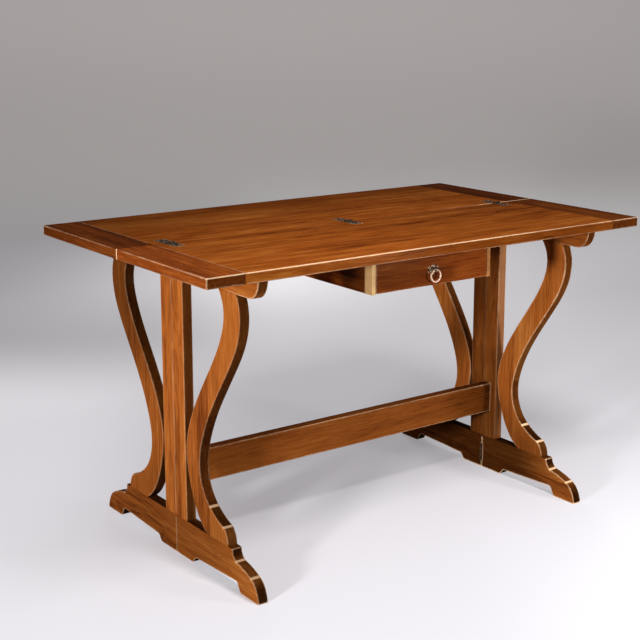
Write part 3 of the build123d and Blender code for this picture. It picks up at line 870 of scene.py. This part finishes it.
@dataclass(frozen=True)
class TrestleLook:
    """How light the boards of one trestle are, with painted light and shade, and how they are
    rubbed.

    Its foot, post and legs have a shade, partly their tone and partly painted light and shade.
    These places have only a share of it, as painted shadow: the foot near the split and the post
    low down, both on the face to the left, the legs low down, and the back leg high up. A rim is
    how light a board's edges are beside its broad faces, as painted shade, and on the right post as
    painted light.
    The right post's far edge is rubbed pale, partly as wear and partly as a painted highlight, with
    less wear near the split, and less of it low down as painted shade.
    """

    foot: float
    foot_middle_painted_shadow: float
    post: float
    post_bottom_painted_shadow: float
    post_rim_painted_shade: float
    leg: float
    leg_bottom_painted_shadow: float
    leg_top_painted_shadow: float
    rim: float
    wear: float
    post_rubs_and_highlight: tuple[Fade, ...] = ()
    post_shelters_and_shade: tuple[Fade, ...] = ()


# The two trestles' shades differ partly by their tone and partly as painted light and shade.
TRESTLE_LOOKS = {
    "left": TrestleLook(
        foot=0.85, foot_middle_painted_shadow=0.72, post=1.25, post_bottom_painted_shadow=0.85, post_rim_painted_shade=0.24,
        leg=1.1, leg_bottom_painted_shadow=0.72, leg_top_painted_shadow=0.40, rim=0.24, wear=0.42,
    ),
    "right": TrestleLook(
        foot=0.95, foot_middle_painted_shadow=0.22, post=0.75, post_bottom_painted_shadow=0.55, post_rim_painted_shade=1.4,
        leg=1.27, leg_bottom_painted_shadow=0.50, leg_top_painted_shadow=0.80, rim=0.34, wear=1.0,
        post_rubs_and_highlight=(Fade(Way.OUT, POST_EDGE - 0.1 * MM, POST_EDGE - 0.5 * MM, 0.22),),
        post_shelters_and_shade=(Fade(Way.OUT, 6 * MM, 14 * MM, 0.30), Fade(Way.UP, 0.20, 0.58, 0.25)),
    ),
}


@dataclass
class Trestles:
    """The split trestles at both ends: front halves fixed, back halves swinging."""

    bench: Bench
    # The stretcher's right end is darker, as a painted shadow.
    stretcher: Board = Board(
        Grain.LENGTHWISE_ON_EDGE, 0.78, painted_shades=(Fade(Way.X, 0.46, 0.25, 0.50),)
    )
    foot_top: float = 95 * MM
    bearer_bottom: float = 690.8 * MM
    bearer_top: float = 738 * MM
    leg_joint_reach: float = 400 * MM
    leg_ridges: tuple[tuple[float, float], ...] = ((216 * MM, 134.3 * MM), (157 * MM, 165.3 * MM))
    toe_ridges: tuple[tuple[float, float], ...] = ((267.5 * MM, 69.4 * MM), (327.7 * MM, 50.8 * MM))

    def build(self) -> None:
        """Dresses the feet, posts, legs and bearers, and the stretcher between the posts."""
        upright = (self.foot_top, self.bearer_bottom)
        bearer = Board(Grain.CROSSWISE_ON_EDGE, joints=(self.bearer_bottom, self.bearer_top))
        # Painted shade and shadow on each trestle: its feet near the split, its posts and legs low
        # down, the back legs high up, and the rims; the right post's far edge has a painted
        # highlight.
        for hand, look in TRESTLE_LOOKS.items():
            foot = Board(
                Grain.CROSSWISE_ON_EDGE, look.foot, look.rim, wear=look.wear,
                painted_shades=(Fade(Way.OUT, 0.13, 0.33, look.foot_middle_painted_shadow, -1),),
                ridges=self.toe_ridges, joints=(self.foot_top,),
            )
            post = Board(
                Grain.UPRIGHT, look.post, look.post_rim_painted_shade, wear=look.wear,
                painted_shades=(Fade(Way.UP, 0.12, 0.42, look.post_bottom_painted_shadow, -1),),
                rubs_and_painted_light=look.post_rubs_and_highlight, shelters=look.post_shelters_and_shade, joints=upright,
            )
            bottom = Fade(Way.UP, self.foot_top, 0.30, look.leg_bottom_painted_shadow)
            top = Fade(Way.UP, 0.62, 0.26, look.leg_top_painted_shadow)
            front_leg = Board(
                Grain.UPRIGHT, look.leg, look.rim, wear=look.wear, painted_shades=(bottom,),
                ridges=self.leg_ridges, joints=upright, joint_reach=self.leg_joint_reach,
            )
            back_leg = replace(front_leg, painted_shades=(bottom, top))
            for half, leg in (("front", front_leg), ("back", back_leg)):
                boards = {"foot": foot, "post": post, "leg": leg, "bearer": bearer}
                for kind, board in boards.items():
                    self.bench.wood(f"{half}_{kind}_{hand}", FRAME_WOOD, board)
        self.bench.wood("stretcher", FRAME_WOOD, self.stretcher)
        self.bench.metal("bearer_screws", SCREW_STEEL)


@dataclass
class DrawerCase:
    """The open case under the front leaf, and the drawer in it.

    The front ends of the case's sides are rubbed pale, most of all the left one, where the pale end
    is partly a painted highlight. The left side also has a painted band of light near its front,
    with painted shadow behind it, and the drawer front is darker to the left, as painted shade.
    """

    bench: Bench
    shade: float = 1.3
    side_front: float = 335.8 * MM

    def build(self) -> None:
        """Dresses the case, the runners and the drawer's boards."""
        # The left side: painted shadow, a painted band of light at its front, and a pale front end
        # that is partly wear and partly a painted highlight.
        end = (Way.OUT, self.side_front, self.side_front - 0.4 * MM)
        right = Board(Grain.CROSSWISE_ON_EDGE, self.shade, end=1.0, rubs_and_painted_light=(Fade(*end, 0.20),))
        left = replace(
            right, painted_shades=(Fade(Way.OUT, 0.24, 0.19, 0.30),),
            rubs_and_painted_light=(Fade(Way.OUT, 313 * MM, 306 * MM, 0.42), Fade(*end, 0.85)),
        )
        # The drawer front is darker to the left, as painted shade.
        front = Board(Grain.LENGTHWISE_ON_EDGE, self.shade, painted_shades=(Fade(Way.X, -0.10, 0.12, 0.62),))
        across, long = Board(Grain.CROSSWISE_ON_EDGE), Board(Grain.LENGTHWISE_ON_EDGE)
        wood = self.bench.wood
        for hand, side in (("left", left), ("right", right)):
            wood(f"case_side_{hand}", CASE_WOOD, side)
            wood(f"drawer_runner_{hand}", INNER_WOOD, Board(Grain.CROSSWISE))
            wood(f"drawer_side_{hand}", INNER_WOOD, across)
        wood("case_back", INNER_WOOD, long)
        wood("drawer_front", DRAWER_WOOD, front)
        wood("drawer_back", INNER_WOOD, long)
        wood("drawer_bottom", INNER_WOOD, Board(Grain.LENGTHWISE))


@dataclass
class RingPull:
    """The brass drop pull: rosette, eye, nut and ring."""

    bench: Bench
    tips: int = 6
    rosette_height: float = 26 * MM
    rim: float = 0.8 * MM
    swell: float = 1.5 * MM
    bead: float = 0.7 * MM
    bead_place: float = 0.84
    bead_width: float = 0.09
    rib: float = 0.5
    waist: float = 0.58
    ring_thinning: float = 0.22

    def build(self) -> None:
        """Makes the rosette and the ring, and dresses the eye and its nut."""
        metal = self.bench.metal
        metal("pull_plate", PLATE_BRASS, self.rosette())
        metal("pull_eye", PLATE_BRASS)
        metal("pull_ring", RING_BRASS, self.ring())
        metal("pull_nut", SCREW_STEEL)

    def rosette(self) -> Object:
        """A cast rosette with pointed petals.

        Its grid runs from the middle (t = 0) to the rim (t = 1) and round by an angle. The rim's
        radius falls from 1 at a petal's tip to the waist between petals, as |cos| of half the
        petals times the angle. Its height swells as 1 - t squared, with a rib along each petal and
        a bead near each tip.

        Returns:
            The closed rosette, flat at its back.
        """
        low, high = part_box("pull_plate")
        middle = (low + high) / 2
        t = np.linspace(0, 1, 17)[:, None]
        angle = np.linspace(0, 2 * math.pi, 97)[None, :-1]
        petal = np.abs(np.cos((angle - math.pi / 2) * self.tips / 2))
        radius = t * (self.waist + (1 - self.waist) * petal**1.5)
        bead = np.exp(-(((t - self.bead_place) / self.bead_width) ** 2)) * petal**6
        rib = np.sin(math.pi * t) * petal**3 * self.rib
        height = self.rim * np.minimum(1, (1 - t) / 0.04) + self.swell * (1 - t**2)
        height = height + self.bead * (bead + rib)
        x = middle[0] + (high[0] - low[0]) / 2 * radius * np.cos(angle)
        z = middle[2] + self.rosette_height / 2 * radius * np.sin(angle)
        front = np.stack([x, high[1] - height, z], axis=-1)
        back = np.stack([x, np.full_like(x, high[1]), z], axis=-1)
        return shell("pull_rosette", front, back)

    def ring(self) -> Object:
        """A ring whose round bar thins towards its top, where it hangs in the eye.

        Its grid runs round the ring by one angle from the bottom, and round the bar by another.

        Returns:
            The closed ring.
        """
        low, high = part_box("pull_ring")
        middle = (low + high) / 2
        bar = (high[1] - low[1]) / 2
        round_ring = np.linspace(0, 2 * math.pi, 73)[:-1, None]
        round_bar = np.linspace(0, 2 * math.pi, 21)[None, :-1]
        thick = bar * (1 - self.ring_thinning * (1 - np.cos(round_ring)) / 2)
        reach = (high[0] - low[0]) / 2 - bar + thick * np.cos(round_bar)
        x = middle[0] + reach * np.sin(round_ring)
        z = middle[2] - reach * np.cos(round_ring)
        y = middle[1] + thick * np.sin(round_bar)
        piece = surface("pull_drop_ring", np.stack([x, y, z], axis=-1), True, True)
        face_outwards(piece)
        return piece


@dataclass
class Hinges:
    """The hinges let into the top, and those in the meeting faces of the trestles."""

    bench: Bench
    leaf_width: float = 28 * MM
    leaf_reach: float = 48 * MM
    screw_places: tuple[tuple[float, float], ...] = ((-0.25, 0.78), (0.25, 0.78), (0.0, 0.36))
    head_radius: float = 3.0 * MM
    dome: float = 0.42 * MM
    slot_width: float = 0.9 * MM
    slot_floor: float = 0.02 * MM
    slot_slope: float = 0.09 * MM
    skirt: float = 0.3 * MM
    turn_seed: int = 7

    def build(self) -> None:
        """Dresses the plates, pins and screws."""
        metal = self.bench.metal
        for place in HINGE_PLACES:
            for half in HALVES:
                metal(f"top_hinge_{half}_leaf_{place}", TOP_BRONZE)
        metal("top_hinge_pins", TOP_BRONZE)
        for half in HALVES:
            metal(f"top_hinge_screws_{half}", SCREW_STEEL)
            heads = self.screw_heads(f"top_hinge_screw_heads_{half}", half)
            steel = SCREW_STEEL.material(heads.name, self.bench.next_seed())
            self.bench.add(heads, f"{half}_leaf_panel", SCREW_STEEL.slot, steel)
        for hand in HANDS:
            for level in ("lower", "upper"):
                metal(f"gate_hinge_fixed_leaf_{hand}_{level}", GATE_IRON)
                metal(f"gate_hinge_moving_leaf_{hand}_{level}", GATE_IRON)
            metal(f"gate_hinge_pins_{hand}", GATE_IRON)
            metal(f"gate_hinge_screws_moving_{hand}", SCREW_STEEL)
        metal("gate_hinge_screws_fixed", SCREW_STEEL)

    def screw_heads(self, name: str, half: str) -> Object:
        """The domed and slotted heads on one leaf's hinges.

        A square grid is drawn onto a disc, where x = u times the root of 1 - v*v/2 and y likewise.
        The head's height is a dome of 1.1 - r*r, and next to nothing within the slot, whose sides
        are two lines of the grid close together. The outermost line drops into the wood.

        Args:
            name: The piece's name.
            half: Which leaf.

        Returns:
            All the heads, as one piece.
        """
        slot = self.slot_width / 2 / self.head_radius
        rim = slot + self.slot_slope / self.head_radius
        inner = np.linspace(-1, 1, 13)
        lines = np.sort(np.concatenate([inner, [-rim, -slot, slot, rim, -1.0, 1.0]]))
        u, v = lines[:, None], lines[None, :]
        across = u * np.sqrt(1 - v**2 / 2)
        along = v * np.sqrt(1 - u**2 / 2)
        height = self.dome * (1.1 - across**2 - along**2)
        height = np.where(np.abs(u) <= slot + 0.001, self.slot_floor, height)
        height[[0, -1], :] = -self.skirt
        height[:, [0, -1]] = -self.skirt
        side = -1 if half == "front" else 1
        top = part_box(f"{half}_leaf_panel")[1][2]
        turns = iter(np.random.default_rng(self.turn_seed).uniform(0, math.pi, 9))
        heads = []
        for place in HINGE_PLACES:
            low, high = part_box(f"top_hinge_{half}_leaf_{place}")
            for share, reach in self.screw_places:
                turn = next(turns)
                x = (low[0] + high[0]) / 2 + share * self.leaf_width
                x = x + self.head_radius * (across * math.cos(turn) - along * math.sin(turn))
                y = side * reach * self.leaf_reach
                y = y + self.head_radius * (across * math.sin(turn) + along * math.cos(turn))
                front = np.stack([x, y, top + height], axis=-1)
                back = np.stack([x, y, np.full_like(x, top - self.skirt)], axis=-1)
                heads.append(shell(name, front, back))
        return joined(name, heads)


# The studio


@dataclass(frozen=True)
class Lamp:
    """A square area lamp that looks at the middle of the table, with its width and its watts."""

    name: str
    place: tuple[float, float, float]
    size: float
    power: float
    mirrored: bool = True

    def hang(self) -> None:
        """Adds the lamp, out of the camera's sight."""
        light = bpy.data.lights.new(self.name, "AREA")
        light.size, light.energy = self.size, self.power
        lamp = placed(self.name, light)
        lamp.location = self.place
        aim = Vector((0.0, 0.0, 0.4)) - Vector(self.place)
        lamp.rotation_euler = aim.to_track_quat("-Z", "Y").to_euler()
        lamp.visible_camera = False
        lamp.visible_glossy = self.mirrored


@dataclass
class Studio:
    """A pale floor that turns up into a grey backdrop, soft lamps and the camera.

    The floor is dimmer far at the left, lighter at the right, and glows near at the left. Only the
    camera and mirrored rays see it so: the table gets the bounce, a share of that colour.
    """

    camera_place: tuple[float, float, float] = (-1.9801, -2.6186, 1.3187)
    camera_yaw: float = 0.6420
    camera_pitch: float = 0.2069
    camera_roll: float = -0.0032
    focal_pixels: float = 1311.8
    centre_pixels: tuple[float, float] = (340.0, 272.0)
    picture: float = 640.0
    sensor: float = 36.0
    backdrop_distance: float = 4.2
    backdrop_height: float = 5.0
    floor_reach: float = 9.0
    bend: float = 1.6
    bounce: float = 0.22
    glow: float = 0.34
    left_dimming: float = 0.26
    right_lift: float = 0.18
    near_left_glow: float = 0.42
    near_floor: Colour = (0.82, 0.80, 0.84)
    far_floor: Colour = (0.76, 0.74, 0.76)
    low_wall: Colour = (0.60, 0.56, 0.545)
    high_wall: Colour = (0.66, 0.61, 0.60)
    sky: Colour = (0.93, 0.95, 1.0)
    sky_strength: float = 0.12
    lamp_plan: tuple[Lamp, ...] = (
        Lamp("left_key", (-3.2, -1.1, 0.90), 0.35, 92.0),
        Lamp("right_key", (1.0, -1.9, 0.55), 0.3, 19.0),
        Lamp("overhead", (-0.1, -1.2, 2.1), 0.5, 34.0),
        Lamp("back_fill", (1.5, 2.9, 1.0), 0.8, 24.0, mirrored=False),
    )

    def build(self) -> None:
        """Makes the stage, the lamps and the camera."""
        self.backdrop()
        self.lamps()
        self.camera()
        bpy.context.scene.view_settings.view_transform = "Standard"

    def backdrop(self) -> None:
        """A sheet that lies on the floor and rises behind the table, square to the camera.

        Its profile is a level line, a quarter circle and an upright line, carried sideways.
        """
        away = np.array([math.sin(self.camera_yaw), math.cos(self.camera_yaw), 0.0])
        beside = np.array([math.cos(self.camera_yaw), -math.sin(self.camera_yaw), 0.0])
        turn = np.linspace(0, math.pi / 2, 33)
        reach = self.backdrop_distance - self.bend + self.bend * np.sin(turn)
        rise = self.bend * (1 - np.cos(turn))
        reach = np.concatenate([[-self.floor_reach], reach, [self.backdrop_distance]])
        rise = np.concatenate([[0.0], rise, [self.backdrop_height]])
        across = np.array([-self.floor_reach, self.floor_reach])
        up = np.array([0.0, 0.0, 1.0])
        points = (
            reach[:, None, None] * away + rise[:, None, None] * up + across[None, :, None] * beside
        )
        sheet = surface("backdrop", points)
        tree = ShaderTree("backdrop_paper")
        x, y, z = tree.parts(tree.place)
        depth = x * float(away[0]) + y * float(away[1])
        far = depth.step(-0.4, 2.9)
        side = x * float(beside[0]) + y * float(beside[1])
        colour = tree.mix(far, self.near_floor, self.far_floor)
        left, right, near = side.step(-0.2, -0.9), side.step(0.2, 0.9), depth.step(1.8, 0.8)
        even = 1 - left * (1 - near) * self.left_dimming
        colour = tree.scaled(colour, even + right * self.right_lift)
        colour = tree.mix(z.step(0.0, 0.5), colour, self.low_wall)
        colour = tree.mix(z.step(0.6, 1.3), colour, self.high_wall)
        seen = tree.node("LightPath", {}, {}, "Is Camera Ray")
        seen = seen.math("MAXIMUM", tree.node("LightPath", {}, {}, "Is Glossy Ray"))
        tree.principled(
            Base_Color=tree.mix(seen, tree.scaled(colour, self.bounce), colour), Roughness=0.9,
            Specular_IOR_Level=0.1,
        )
        tree.glow(seen * (left * near * self.near_left_glow + self.glow), colour)
        sheet.data.materials.append(tree.material)

    def lamps(self) -> None:
        """Hangs the lamps, and sets an even surround."""
        for lamp in self.lamp_plan:
            lamp.hang()
        world = bpy.data.worlds.new("surround")
        world.use_nodes = True
        sky = world.node_tree.nodes["Background"]
        sky.inputs["Color"].default_value = (*self.sky, 1.0)
        sky.inputs["Strength"].default_value = self.sky_strength
        bpy.context.scene.world = world

    def camera(self) -> None:
        """The photograph's view, with the shift that its framing needs."""
        data = bpy.data.cameras.new("camera")
        data.sensor_width = self.sensor
        data.lens = self.focal_pixels / self.picture * self.sensor
        data.shift_x = (self.picture / 2 - self.centre_pixels[0]) / self.picture
        data.shift_y = (self.centre_pixels[1] - self.picture / 2) / self.picture
        data.clip_end = 100.0
        camera = placed("camera", data)
        camera.location = self.camera_place
        level = Matrix.Rotation(-self.camera_yaw, 4, "Z")
        tilt = Matrix.Rotation(math.pi / 2 - self.camera_pitch, 4, "X")
        roll = Matrix.Rotation(-self.camera_roll, 4, "Z")
        camera.rotation_euler = (level @ tilt @ roll).to_euler()
        bpy.context.scene.camera = camera


def placed(name: str, data: bpy.types.ID) -> Object:
    """Puts a mesh, a light or a camera in the scene.

    Args:
        name: The new object's name.
        data: Its mesh, light or camera.

    Returns:
        The object.
    """
    result = bpy.data.objects.new(name, data)
    bpy.context.scene.collection.objects.link(result)
    return result


def surface(name: str, points: np.ndarray, close_u: bool = False, close_v: bool = False) -> Object:
    """Turns a grid of points into a mesh of quads.

    Args:
        name: The new object's name.
        points: Places on the grid, in an array of rows by columns by 3.
        close_u: Whether the last row joins the first.
        close_v: Whether the last column joins the first.

    Returns:
        The object, smooth.
    """
    rows, columns = points.shape[:2]
    row = np.arange(rows if close_u else rows - 1)[:, None]
    column = np.arange(columns if close_v else columns - 1)[None, :]
    next_row = (row + 1) % rows
    next_column = (column + 1) % columns
    corners = (
        row * columns + column, next_row * columns + column,
        next_row * columns + next_column, row * columns + next_column,
    )
    faces = np.stack(corners, axis=-1).reshape(-1, 4)
    mesh = bpy.data.meshes.new(name)
    mesh.from_pydata(points.reshape(-1, 3).tolist(), [], faces.tolist())
    mesh.shade_smooth()
    return placed(name, mesh)


def face_outwards(piece: Object) -> None:
    """Merges the points of a closed mesh that coincide, and turns its faces outwards.

    Args:
        piece: The piece with that mesh.
    """
    work = bmesh.new()
    work.from_mesh(piece.data)
    bmesh.ops.remove_doubles(work, verts=work.verts, dist=MERGE_DISTANCE)
    bmesh.ops.recalc_face_normals(work, faces=work.faces)
    work.to_mesh(piece.data)
    work.free()
    piece.data.set_sharp_from_angle(angle=CREASE_ANGLE)


def shell(name: str, front: np.ndarray, back: np.ndarray) -> Object:
    """Closes two grids that share their border into one solid.

    Args:
        name: The new object's name.
        front: Places on the front's grid. A round grid has its middle in row 0.
        back: Places on the back's grid, with the same border.

    Returns:
        The solid, with its faces outwards.
    """
    is_round = bool(np.ptp(front[0], axis=0).max() < MERGE_DISTANCE)
    piece = joined(name, [surface(name, side, close_v=is_round) for side in (front, back)])
    face_outwards(piece)
    return piece


def joined(name: str, pieces: list[Object]) -> Object:
    """Joins several pieces into a new one, and deletes them.

    Args:
        name: The new piece's name.
        pieces: The old pieces.

    Returns:
        The new piece.
    """
    work = bmesh.new()
    for piece in pieces:
        work.from_mesh(piece.data)
        bpy.data.objects.remove(piece)
    mesh = bpy.data.meshes.new(name)
    work.to_mesh(mesh)
    work.free()
    return placed(name, mesh)


def main() -> None:
    """Builds the table's sub-assemblies in order, and the studio round them."""
    logging.basicConfig(level=logging.INFO, format="%(message)s")
    bench = Bench(frame["record"])
    for part in (Top, Trestles, DrawerCase, RingPull, Hinges):
        part(bench).build()
    Studio().build()


if __name__ == "__main__":
    main()
